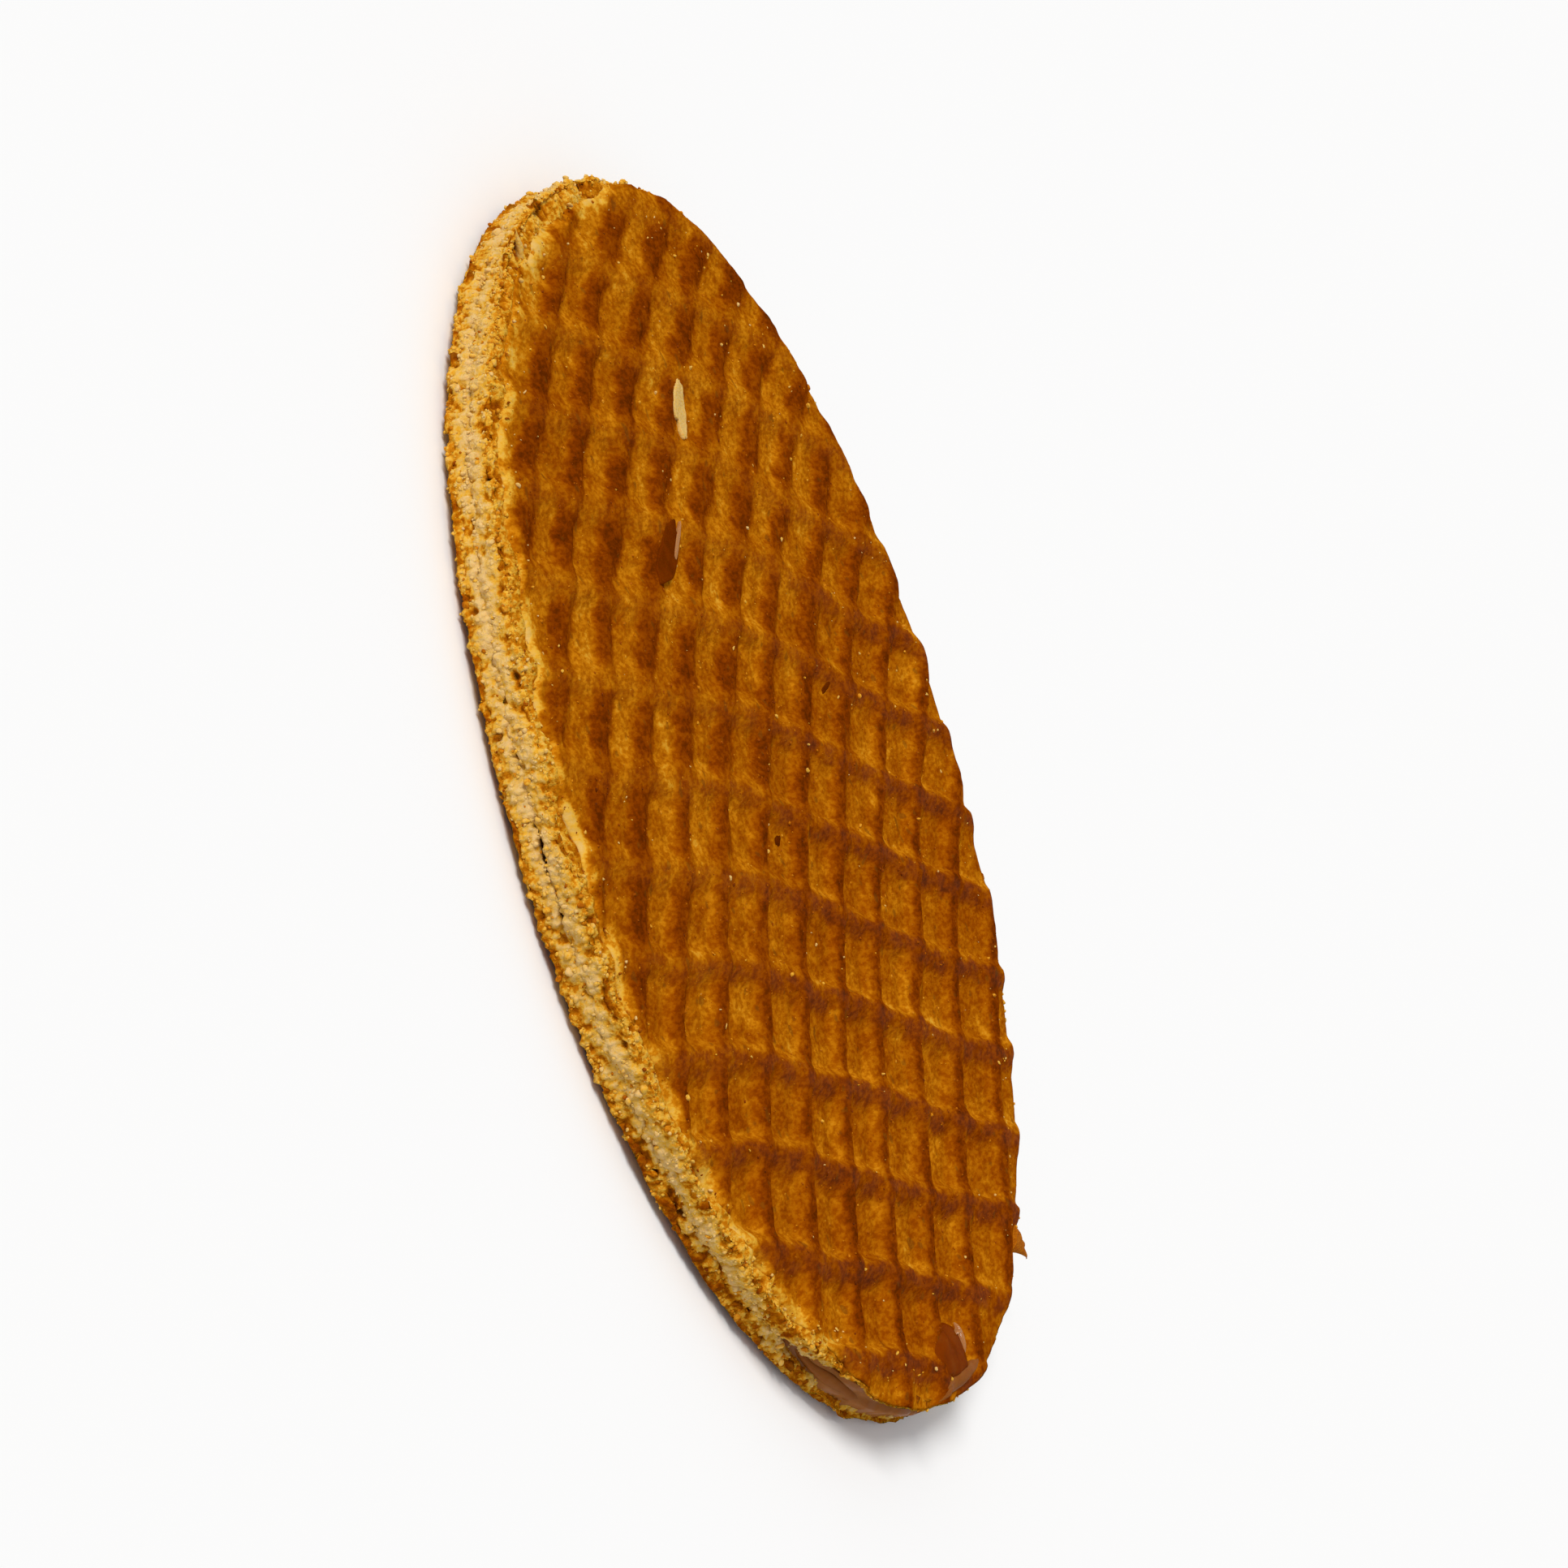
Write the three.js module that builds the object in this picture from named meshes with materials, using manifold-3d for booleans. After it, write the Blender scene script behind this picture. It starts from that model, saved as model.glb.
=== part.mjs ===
// A stroopwafel lying flat: two thin waffle halves with a layer of caramel syrup between them.
// One thick waffle is baked in a patterned iron, cut round, sliced level through its middle and
// stuck together again with syrup. So each half has a baked side with shallow rhombic pits, which
// faces out, and a level sliced side, which meets the syrup. Millimetres, +Z up, resting on z = 0.
import * as THREE from "three";
import { mergeVertices } from "three/addons/utils/BufferGeometryUtils.js";
import Module from "manifold-3d";

const wasm = await Module();
wasm.setup();

// Driving dimensions, in millimetres and degrees.
const RADIUS = 49.6; // the cutter's radius, before crumbs
const LOWER_HALF = 1.95; // from the lower ridges to the sliced side
const SYRUP = 0.65;
const UPPER_HALF = 2.3;

// The waffle iron: on each plate two families of straight ridges cross at an acute angle.
// Each ridge family has the direction across it, the distance between ridges, and where one lies.
const UPPER_PLATE = [
  { across: -14.4, pitch: 7.41, start: 1.7 },
  { across: 44.6, pitch: 7.35, start: 5.4 },
];
const LOWER_PLATE = [
  { across: -14.4, pitch: 7.41, start: 0 },
  { across: 44.6, pitch: 7.35, start: 0 },
];
const RIDGE_CREST = 1.1; // flat width on top of a ridge
const RIDGE_WALL = 1.2; // run of the slope from a ridge down to a pit
const PIT_DEPTH = 0.8;
const PIT_UNEVENNESS = 0.3; // share of the depth that comes and goes over the face
const FACE_SWELL = 0.2; // how far the upper face rises and falls
const RIM_LIFT = 0.2; // how far the lower face curls up at the rim

// Never quite level, it stands on the ridges' crossing in the middle and on a few farther out.
const FEET = 4;
const FEET_RADIUS = 38;
const FEET_HEIGHT = 0.16; // the other ridges clear the table by this much

// The cut edge.
const EDGE_STEPS = 120;
const CRUMB_RELIEF = 0.34; // crumbs broken out of the cut, in and out
const LIP_DROOP = 0.16; // the sliced sides bend towards each other at the rim
const SYRUP_SETBACK = 1.5; // the syrup stops this far inside the rim

// Where the syrup has run out to the rim.
const OOZE_ANGLE = -14; // middle of that stretch
const OOZE_HALF_WIDTH = 26;
const OOZE_BITE = 1.2; // the upper rim is eaten back here, so that the syrup shows
const OOZE_RISE = 0.55; // the bead of syrup stands this far above the gap

const { degToRad, radToDeg, lerp, euclideanModulo, smoothstep } = THREE.MathUtils;

// Repeatable noise from -1 to 1: a fixed value at each whole-numbered corner, blended in between.
function cornerValue(i, j, seed) {
  const s = Math.sin(i * 127.1 + j * 311.7 + seed * 74.7) * 43758.5453;
  return 2 * (s - Math.floor(s)) - 1;
}

function noise(x, y, seed) {
  const i = Math.floor(x);
  const j = Math.floor(y);
  const u = smoothstep(x - i, 0, 1);
  const v = smoothstep(y - j, 0, 1);
  const near = lerp(cornerValue(i, j, seed), cornerValue(i + 1, j, seed), u);
  const far = lerp(cornerValue(i, j + 1, seed), cornerValue(i + 1, j + 1, seed), u);
  return lerp(near, far, v);
}

// The same noise round the rim, so that it closes on itself. waves is its fineness.
function rimNoise(angle, waves, seed) {
  const reach = waves / (2 * Math.PI);
  return noise(reach * Math.cos(angle) + 40, reach * Math.sin(angle) + 40, seed);
}

// The round outline as the cutter and handling left it: a circle with a slow wobble.
function outline(angle) {
  const wobble =
    0.35 * Math.cos(2 * (angle - degToRad(38))) +
    0.2 * Math.cos(3 * (angle + degToRad(20))) +
    0.14 * Math.cos(5 * (angle - degToRad(75)));
  return RADIUS + wobble;
}

// 1 in the middle of the stretch where the syrup has run out, 0 away from it.
function ooze(angle) {
  const off = Math.abs(euclideanModulo(radToDeg(angle) - OOZE_ANGLE + 180, 360) - 180);
  return 1 - smoothstep(off, 0.45 * OOZE_HALF_WIDTH, OOZE_HALF_WIDTH);
}

// One ring of points round the Z axis, its radius and height given by functions of the angle.
function ring(radiusAt, heightAt) {
  return Array.from({ length: EDGE_STEPS }, (_, step) => {
    const angle = (2 * Math.PI * step) / EDGE_STEPS;
    const r = radiusAt(angle);
    return [r * Math.cos(angle), r * Math.sin(angle), heightAt(angle)];
  });
}

// A closed solid from rings, bottom to top, with a middle point at each end.
function ringSolid(rings, bottom, top) {
  const points = [bottom, ...rings.flat(), top];
  const last = points.length - 1;
  const at = (level, step) => 1 + level * EDGE_STEPS + (step % EDGE_STEPS);
  const faces = [];
  for (let s = 0; s < EDGE_STEPS; s++) {
    faces.push(0, at(0, s + 1), at(0, s));
    for (let r = 0; r + 1 < rings.length; r++) {
      faces.push(at(r, s), at(r, s + 1), at(r + 1, s + 1));
      faces.push(at(r, s), at(r + 1, s + 1), at(r + 1, s));
    }
    faces.push(last, at(rings.length - 1, s), at(rings.length - 1, s + 1));
  }
  return new THREE.BufferGeometry()
    .setAttribute("position", new THREE.Float32BufferAttribute(points.flat(), 3))
    .setIndex(faces);
}

// The lines where one family's slopes start and end, with the share of the ridge's height there.
function slopeLines({ pitch, start }) {
  const profile = [
    [-RIDGE_CREST / 2 - RIDGE_WALL, 0],
    [-RIDGE_CREST / 2, 1],
    [RIDGE_CREST / 2, 1],
    [RIDGE_CREST / 2 + RIDGE_WALL, 0],
  ];
  const most = Math.ceil((RADIUS + 2) / pitch) + 1;
  const lines = [];
  for (let k = -most; k <= most; k++) {
    lines.push(...profile.map(([offset, share]) => ({ offset: start + k * pitch + offset, share })));
  }
  return lines;
}

// The point that lies at these distances across the plate's two ridge families.
function crossing(plate, offsetA, offsetB) {
  const [a, b] = plate.map(({ across }) => degToRad(across));
  const det = Math.sin(b - a);
  const x = (offsetA * Math.sin(b) - offsetB * Math.sin(a)) / det;
  const y = (offsetB * Math.cos(a) - offsetA * Math.cos(b)) / det;
  return [x, y];
}

// A slab wider than the waffle whose top carries a plate's pattern, over a level bottom.
// Its points are where the two families' lines cross. crestAt is the crests' height over a point.
function ironSlab(plate, crestAt, depthAt) {
  const [a, b] = plate.map(slopeLines);
  const top = [];
  const bottom = [];
  const raised = [];
  for (const lineA of a) {
    for (const lineB of b) {
      const [x, y] = crossing(plate, lineA.offset, lineB.offset);
      const share = Math.max(lineA.share, lineB.share);
      top.push([x, y, crestAt(x, y) - depthAt(x, y) * (1 - share)]);
      bottom.push([x, y, -2]);
      raised.push(share);
    }
  }
  const at = (i, j) => i * b.length + j;
  const under = top.length;
  const lastA = a.length - 1;
  const lastB = b.length - 1;
  const faces = [];
  const wall = (p, q) => faces.push(p, p + under, q + under, p, q + under, q);
  for (let i = 0; i < lastA; i++) {
    for (let j = 0; j < lastB; j++) {
      const [p, q, r, s] = [at(i, j), at(i + 1, j), at(i + 1, j + 1), at(i, j + 1)];
      // Where two slopes meet, the crease runs from the ridges' crossing to the pit's corner.
      const creasePR = Math.abs(raised[p] - raised[r]) >= Math.abs(raised[q] - raised[s]);
      const quad = creasePR ? [p, q, r, p, r, s] : [p, q, s, q, r, s];
      faces.push(...quad, ...quad.map((v) => v + under).reverse());
    }
    wall(at(i, 0), at(i + 1, 0));
    wall(at(i + 1, lastB), at(i, lastB));
  }
  for (let j = 0; j < lastB; j++) {
    wall(at(lastA, j), at(lastA, j + 1));
    wall(at(0, j + 1), at(0, j));
  }
  return new THREE.BufferGeometry()
    .setAttribute("position", new THREE.Float32BufferAttribute([...top, ...bottom].flat(), 3))
    .setIndex(faces);
}

// What the round cutter leaves: a crumbly wall, and a sliced side that bends over at the rim.
// bite is how far syrup has eaten the wall back, from 0 to OOZE_BITE.
function cutRound(thickness, seed, bite) {
  const wall = (level, height, inset, roughness, bitten) => {
    const radiusAt = (angle) => {
      const crumbs = CRUMB_RELIEF * rimNoise(angle, 95, seed + 10 * level) * (1 - 0.6 * ooze(angle));
      return outline(angle) - inset + roughness * crumbs - bitten * bite * ooze(angle);
    };
    return ring(radiusAt, height);
  };
  const rings = [
    wall(0, () => 0, SYRUP_SETBACK - 0.6, 0, 1),
    wall(1, (angle) => -LIP_DROOP * (1 - smoothstep(ooze(angle), 0, 0.3)), 0.35, 1, 1),
    wall(2, () => 0.3 * thickness, 0, 1, 0.85),
    wall(3, () => 0.68 * thickness, 0.1, 1, 0.5),
    wall(4, () => thickness, 0.5, 0.8, 0.3),
    wall(5, () => thickness + 1, 0.8, 0.8, 0.3),
  ];
  return ringSolid(rings, [0, 0, 0], [0, 0, thickness + 1]);
}

function solidOf(geometry) {
  geometry.deleteAttribute("normal");
  geometry.deleteAttribute("uv");
  const merged = mergeVertices(geometry, 1e-4);
  const vertProperties = merged.getAttribute("position").array;
  const triVerts = new Uint32Array(merged.index.array);
  return new wasm.Manifold(new wasm.Mesh({ numProp: 3, vertProperties, triVerts }));
}

// One half of the waffle, baked side up, with its sliced side at z = 0.
function waffleHalf(plate, thickness, crestAt, seed, bite) {
  const depthAt = (x, y) => PIT_DEPTH * (1 + PIT_UNEVENNESS * noise(x / 17, y / 17, seed + 3));
  const slab = solidOf(ironSlab(plate, crestAt, depthAt));
  const { vertProperties, triVerts } = slab.intersect(solidOf(cutRound(thickness, seed, bite))).getMesh();
  return new THREE.BufferGeometry()
    .setAttribute("position", new THREE.BufferAttribute(new Float32Array(vertProperties), 3))
    .setIndex(new THREE.BufferAttribute(new Uint32Array(triVerts), 1));
}

// The upper half's face rises and falls gently.
function upperHalf() {
  const crestAt = (x, y) => UPPER_HALF + FACE_SWELL * noise(x / 24 + 3.1, y / 24 + 1.7, 11);
  return waffleHalf(UPPER_PLATE, UPPER_HALF, crestAt, 1, OOZE_BITE);
}

// The corner of a ridge crossing nearest to each foot's place round the middle.
function feet() {
  return Array.from({ length: FEET }, (_, n) => {
    const angle = (2 * Math.PI * (n + 0.3)) / FEET;
    const offsets = LOWER_PLATE.map(({ across, pitch, start }) => {
      const distance = FEET_RADIUS * Math.cos(angle - degToRad(across)) - start;
      return Math.round(distance / pitch) * pitch + start + RIDGE_CREST / 2;
    });
    return crossing(LOWER_PLATE, ...offsets);
  });
}

// The lower half is turned over to lie on its feet, and curls up a little at the rim.
function lowerHalf() {
  const places = feet();
  const clear = (x, y) => {
    const fromFoot = Math.min(...places.map(([fx, fy]) => Math.hypot(x - fx, y - fy)));
    return Math.min(smoothstep(Math.hypot(x, y), 1.5, 7), smoothstep(fromFoot, 0, 5));
  };
  const curl = (x, y) => smoothstep(Math.hypot(x, y), 0.8 * RADIUS, RADIUS) * (0.5 + 0.5 * noise(x / 15, y / 15, 5));
  const crestAt = (x, y) => LOWER_HALF - FEET_HEIGHT * clear(x, y) - RIM_LIFT * curl(x, y);
  const half = waffleHalf(LOWER_PLATE, LOWER_HALF, crestAt, 2, 0).scale(1, 1, -1);
  return half.setIndex(Array.from(half.index.array).reverse());
}

// The syrup fills the gap up to a wandering edge, and stands up in a bead where it has run out.
function syrupLayer() {
  const reach = (angle) => {
    const wander = 0.35 * rimNoise(angle, 50, 7) * (1 - ooze(angle));
    return outline(angle) - lerp(SYRUP_SETBACK, 0.1, ooze(angle)) + wander;
  };
  const rise = (angle) => OOZE_RISE * smoothstep(ooze(angle), 0.7, 1);
  const rings = [
    ring((angle) => reach(angle) - 0.25, () => 0),
    ring(reach, () => 0.45 * SYRUP),
    ring((angle) => reach(angle) - 0.12, (angle) => 0.8 * SYRUP + 0.6 * rise(angle)),
    ring((angle) => reach(angle) - 0.3 - 0.15 * ooze(angle), (angle) => SYRUP + rise(angle)),
    ring((angle) => reach(angle) - 0.45 - 0.3 * ooze(angle), () => SYRUP),
  ];
  return ringSolid(rings, [0, 0, 0], [0, 0, SYRUP]);
}

const stroopwafel = new THREE.Group();

function addPiece(name, geometry, height, finish) {
  const piece = new THREE.Mesh(geometry, new THREE.MeshStandardMaterial({ metalness: 0, ...finish }));
  piece.name = name;
  piece.position.z = height;
  stroopwafel.add(piece);
}

const baked = { color: 0xb0701c, roughness: 0.55 };
const caramel = { color: 0x6b3512, roughness: 0.2 };
addPiece("wafer_bottom", lowerHalf(), LOWER_HALF, baked);
addPiece("syrup", syrupLayer(), LOWER_HALF, caramel);
addPiece("wafer_top", upperHalf(), LOWER_HALF + SYRUP, baked);

export default stroopwafel;
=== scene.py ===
# %% [markdown]
# # A stroopwafel from crumb to gloss
# A stroopwafel is one waffle baked in a patterned iron, cut round, sliced level through its
# middle, and stuck together again with caramel syrup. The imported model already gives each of
# these layers its true size. Here each layer gets the surface that the solid leaves out: the
# baked skin, the broken crumb of the cut edge, and the syrup that has run out at the rim.
# Everything is made from arrays of points, because a crumb is too irregular for modifiers.

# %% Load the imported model
import itertools
import math

import bmesh
import bpy
import mathutils
import numpy as np
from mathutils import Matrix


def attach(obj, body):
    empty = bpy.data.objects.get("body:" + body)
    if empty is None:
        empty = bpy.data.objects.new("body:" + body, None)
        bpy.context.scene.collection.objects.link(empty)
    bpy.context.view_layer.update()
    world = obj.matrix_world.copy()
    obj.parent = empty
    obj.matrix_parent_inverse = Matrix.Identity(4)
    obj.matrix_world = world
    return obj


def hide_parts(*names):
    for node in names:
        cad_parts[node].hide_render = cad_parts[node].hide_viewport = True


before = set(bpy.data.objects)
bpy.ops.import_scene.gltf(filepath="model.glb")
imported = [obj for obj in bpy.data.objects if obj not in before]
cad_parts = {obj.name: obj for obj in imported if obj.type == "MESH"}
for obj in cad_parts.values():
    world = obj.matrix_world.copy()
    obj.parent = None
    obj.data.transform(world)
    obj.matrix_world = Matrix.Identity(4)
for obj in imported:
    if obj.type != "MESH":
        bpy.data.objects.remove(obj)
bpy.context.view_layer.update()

MM = 0.001

# %% [markdown]
# ## The camera first
# The waffle stood on its rim and leaned back a little. Lying down, it shows the same face when
# the camera looks across it from low on one side, with its own head tipped over by nearly a
# quarter turn. A pinhole fitted to the outlines of both faces gives the place: about four
# diameters away and 18 degrees above the face.

# %% Camera
FACE_HEIGHT = 4.9  # mm
CAMERA_PLACE = np.array([0.0, -371.2, 119.0 + FACE_HEIGHT])
CAMERA_HEAD = np.array([-0.9607, 0.1146, 0.2540])  # what is upward in the picture
CAMERA_AIM = np.array([0.0, 0.0, FACE_HEIGHT])


def look(place, aim, head):
    """A turn matrix whose -Z runs from place to aim, with head upward."""
    back = mathutils.Vector(place - aim).normalized()
    right = mathutils.Vector(head).cross(back).normalized()
    turned = mathutils.Matrix((right, back.cross(right), back)).transposed().to_4x4()
    turned.translation = mathutils.Vector(place) * MM
    return turned


scene = bpy.context.scene
lens = bpy.data.cameras.new("camera")
lens.lens = 114
lens.sensor_width = 36
lens.clip_start = 0.01
camera = bpy.data.objects.new("camera", lens)
camera.matrix_world = look(CAMERA_PLACE, CAMERA_AIM, CAMERA_HEAD)
scene.collection.objects.link(camera)
scene.camera = camera
print("camera at", np.round(CAMERA_PLACE, 1).tolist(), "mm")

# %% [markdown]
# ## Soft light from one side and an even room
# The relief of the iron is under a millimetre deep, so it shows only where some of the light
# comes in low over the face, from beyond the rim that was uppermost. A sun lamp does that
# without fading across the floor, and a wide angle gives it a soft edge, as a large studio
# panel would have. The pale room fills the shade and keeps the floor evenly white.

# %% Light
SUN_FROM = np.array([-0.50, -0.56, 0.62])
SUN_POWER = 2.65
SUN_SPREAD = math.radians(24)
ROOM_POWER = 0.52

sun = bpy.data.lights.new("soft_sun", "SUN")
sun.energy = SUN_POWER
sun.angle = SUN_SPREAD
sun.color = (1.0, 0.985, 0.96)
sun_holder = bpy.data.objects.new("soft_sun", sun)
sun_holder.matrix_world = look(SUN_FROM, np.zeros(3), np.array([0.0, 1.0, 0.01]))
scene.collection.objects.link(sun_holder)
room = bpy.data.worlds.new("pale_room")
room.use_nodes = True
room.node_tree.nodes["Background"].inputs["Color"].default_value = (0.97, 0.98, 1.0, 1)
room.node_tree.nodes["Background"].inputs["Strength"].default_value = ROOM_POWER
scene.world = room
scene.view_settings.view_transform = "Standard"
print("light from", SUN_FROM.tolist())

# %% [markdown]
# ## The shape they share
# The solids swell, wobble and bite by simple repeatable noise. The same few formulas are
# repeated here, so that every skin lies on its solid to within a crumb.

# %% Forms shared with the solids, in millimetres
RADIUS = 49.6
LOWER_HALF = 1.95
SYRUP = 0.65
UPPER_HALF = 2.3
UPPER_PLATE = ((-14.4, 7.41, 1.7), (44.6, 7.35, 5.4))  # direction across, pitch, start
LOWER_PLATE = ((-14.4, 7.41, 0.0), (44.6, 7.35, 0.0))
PIT_DEPTH = 0.8
OOZE_ANGLE, OOZE_HALF_WIDTH, OOZE_BITE, OOZE_RISE = -14, 26, 1.2, 0.55
SWELLINGS = ((0.35, 2, 38), (0.20, 3, -20), (0.14, 5, 75))  # size in mm, lobes, direction in degrees


def smooth(x, low, high):
    share = np.clip((x - low) / (high - low), 0, 1)
    return share * share * (3 - 2 * share)


def corner_value(i, j, seed):
    s = np.sin(i * 127.1 + j * 311.7 + seed * 74.7) * 43758.5453
    return 2 * (s - np.floor(s)) - 1


def slow_noise(x, y, seed):
    """The solids' own noise, from -1 to 1."""
    i, j = np.floor(x), np.floor(y)
    u, v = smooth(x - i, 0, 1), smooth(y - j, 0, 1)
    near = corner_value(i, j, seed) * (1 - u) + corner_value(i + 1, j, seed) * u
    far = corner_value(i, j + 1, seed) * (1 - u) + corner_value(i + 1, j + 1, seed) * u
    return near * (1 - v) + far * v


def turn_in(count):
    """Angles that divide a whole turn into this many steps."""
    return 2 * math.pi * np.arange(count) / count


def polar(radius, angle, *height):
    """Points at a radius and an angle, with a height if there is one."""
    return np.stack([radius * np.cos(angle), radius * np.sin(angle), *height], axis=-1)


def degrees_from(angle, middle):
    """How far round an angle is from a middle in degrees, from -180 to 180."""
    return (np.degrees(angle) - middle + 180) % 360 - 180


def rim_noise(angle, waves, seed):
    """The same noise read along the rim, with about this many waves in a turn."""
    reach = waves / (2 * math.pi)
    return slow_noise(reach * np.cos(angle) + 40, reach * np.sin(angle) + 40, seed)


def outline(angle):
    """Radius of the cut edge: a circle with three slow swellings."""
    swell = (size * np.cos(lobes * (angle - math.radians(towards))) for size, lobes, towards in SWELLINGS)
    return sum(swell, RADIUS)


def ooze(angle):
    """1 where the syrup has run out to the rim, 0 elsewhere."""
    return 1 - smooth(np.abs(degrees_from(angle, OOZE_ANGLE)), 0.45 * OOZE_HALF_WIDTH, OOZE_HALF_WIDTH)


# %% [markdown]
# ## Noise for crumb and crust
# Two kinds of noise make nearly everything here. A smooth one gives slow unevenness. A cellular
# one scatters centres and measures how far each point is from the nearest, which gives rounded
# grains with creases between them, as in a broken biscuit.

# %% Fine noise
PRIMES = [np.uint64(prime) for prime in (374761393, 668265263, 2246822519, 3266489917)]
LOW_BITS = np.uint64(0xFFFFFFFF)


def scatter(cells, seed):
    """A repeatable value from 0 to 1 for every whole-numbered cell."""
    i, j, k = (cells[..., axis].astype(np.uint64) for axis in range(3))
    mixed = i * PRIMES[0] + j * PRIMES[1] + k * PRIMES[2]
    mixed = (mixed + np.uint64(seed * int(PRIMES[3]))) & LOW_BITS
    for shift, prime in ((15, PRIMES[2]), (13, PRIMES[3])):
        mixed = ((mixed ^ (mixed >> np.uint64(shift))) * prime) & LOW_BITS
    return ((mixed ^ (mixed >> np.uint64(16))) & np.uint64(0xFFFFFF)).astype(float) / 0xFFFFFF


NEARBY = np.array(list(itertools.product((-1, 0, 1), repeat=3)))
CORNERS = np.array(list(itertools.product((0, 1), repeat=3)))


def noise(points, size, seed=0):
    """Smooth noise from -1 to 1 with waves of this size in mm."""
    place = points / size + 1000
    cell = np.floor(place)
    blend = smooth(place - cell, 0, 1)
    total = np.zeros(len(points))
    for corner in CORNERS:
        weight = np.prod(np.where(corner, blend, 1 - blend), axis=1)
        total += weight * scatter((cell + corner).astype(np.int64), seed)
    return 2 * total - 1


def on_level(x, y):
    return np.stack([x, y, np.zeros_like(x)], axis=1)


def rough(points, size, seed=0, octaves=3):
    """Several sizes of smooth noise on top of each other."""
    return sum(noise(points, size / 2**n, seed + n) / 2**n for n in range(octaves))


def grains(points, size, seed=0):
    """Distance to the nearest grain's centre, as a share of size, and that grain's own value."""
    place = points / size + 1000
    cell = np.floor(place).astype(np.int64)
    nearest = np.full(len(points), 9.0)
    value = np.zeros(len(points))
    for step in NEARBY:
        there = cell + step
        centre = there + np.stack([scatter(there, seed + n) for n in (1, 2, 3)], axis=1)
        distance = np.linalg.norm(place - centre, axis=1)
        closer = distance < nearest
        nearest = np.where(closer, distance, nearest)
        value = np.where(closer, scatter(there, seed + 4), value)
    return nearest, value


# %% [markdown]
# ## Skins made of rings
# Each layer is a closed skin of rings: out from the middle over the face, down the cut edge and
# back in underneath. Rings farther out need more points to keep the mesh even, so neighbouring
# rings with different counts are zipped together, always stepping on the ring that lags behind.

# %% Mesh helpers
def zip_rings(first_a, count_a, first_b, count_b):
    """Triangles between two rings of points that start at the same angle."""
    tie = 1e-9  # of two equal steps, the first ring's comes first
    ahead = np.concatenate([(np.arange(count_a) + 1) / count_a, (np.arange(count_b) + 1) / count_b + tie])
    steps_a = np.argsort(ahead, kind="stable") < count_a
    i = np.cumsum(steps_a) - steps_a
    j = np.cumsum(~steps_a) - ~steps_a
    a, b = first_a + i % count_a, first_b + j % count_b
    third = np.where(steps_a, first_a + (i + 1) % count_a, first_b + (j + 1) % count_b)
    faces = np.stack([a, b, third], axis=1)
    return faces[(faces[:, 0] != faces[:, 2]) & (faces[:, 1] != faces[:, 2])]


def ring_faces(counts, closed=False):
    """Triangles of a whole stack of rings; closed joins the last ring to the first."""
    starts = np.concatenate([[0], np.cumsum(counts)[:-1]])
    pairs = list(zip(range(len(counts) - 1), range(1, len(counts))))
    if closed:
        pairs.append((len(counts) - 1, 0))
    return np.concatenate([zip_rings(starts[a], counts[a], starts[b], counts[b]) for a, b in pairs])


def make_piece(name, points, faces, masks, node=None):
    """A smooth mesh object from points in mm, with a named mask for each entry of masks."""
    mesh = bpy.data.meshes.new(name)
    mesh.vertices.add(len(points))
    mesh.vertices.foreach_set("co", (points * MM).astype(np.float32).ravel())
    mesh.loops.add(faces.size)
    mesh.loops.foreach_set("vertex_index", faces.astype(np.int32).ravel())
    mesh.polygons.add(len(faces))
    mesh.polygons.foreach_set("loop_start", np.arange(0, faces.size, 3, dtype=np.int32))
    mesh.update(calc_edges=True)
    mesh.shade_smooth()
    for mask, values in masks.items():
        layer = mesh.attributes.new(mask, "FLOAT", "POINT")
        layer.data.foreach_set("value", np.asarray(values, dtype=np.float32))
    piece = bpy.data.objects.new(name, mesh)
    scene.collection.objects.link(piece)
    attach(piece, "root")
    if node:
        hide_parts(node)
    print(f"{name}: {len(faces)} triangles, z from {points[:, 2].min():.2f} to {points[:, 2].max():.2f} mm")
    return piece


def slab(flat, top, under, counts):
    """Points and triangles of a closed sheet of rings with these heights above and below."""
    points = np.concatenate([np.column_stack([flat, top]), np.column_stack([flat, under])])
    base = len(flat)
    rim = base - counts[-1] + np.arange(counts[-1])
    after = np.roll(rim, -1)
    faces = ring_faces(counts)
    return points, np.concatenate([faces, faces[:, ::-1] + base,
                                   np.stack([rim, base + rim, after], axis=1),
                                   np.stack([after, base + rim, base + after], axis=1)])


def turned_by(flat, degrees):
    c, s = math.cos(math.radians(degrees)), math.sin(math.radians(degrees))
    return flat @ np.array([[c, s], [-s, c]])


# %% [markdown]
# ## What the iron leaves
# Two families of rounded ridges cross at an acute angle, with shallow rhombic pits between
# them, and where two ridges cross the dough stands highest. On the real face no two pits are
# alike: ridges waver and vary in width, floors are puffed up, and towards one side the whole
# pattern is half lost. So the ruler-straight pattern is bent by noise before it is read, and
# its depth and crispness change over the face.

# %% The relief of a baked side
def crispness(x, y):
    """How sharply the iron has printed: 1 towards the rim that was lowest, less elsewhere."""
    return smooth(0.9 * x + 0.4 * y, -22, 20)


FAN_SLOPE, FAN_SOFTNESS = 0.077, 4


def bows(x, y):
    """How far in mm the upper face's two families bend: one fans out to the near left, one dishes."""
    fan = FAN_SLOPE * np.logaddexp(0, (-1.15 * x - 1.3 * y - 12) / FAN_SOFTNESS) * FAN_SOFTNESS
    dish = 0.00275 * x**2 + 0.0011 * y**2 + 0.012 * y - 0.875
    return fan, dish


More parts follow.
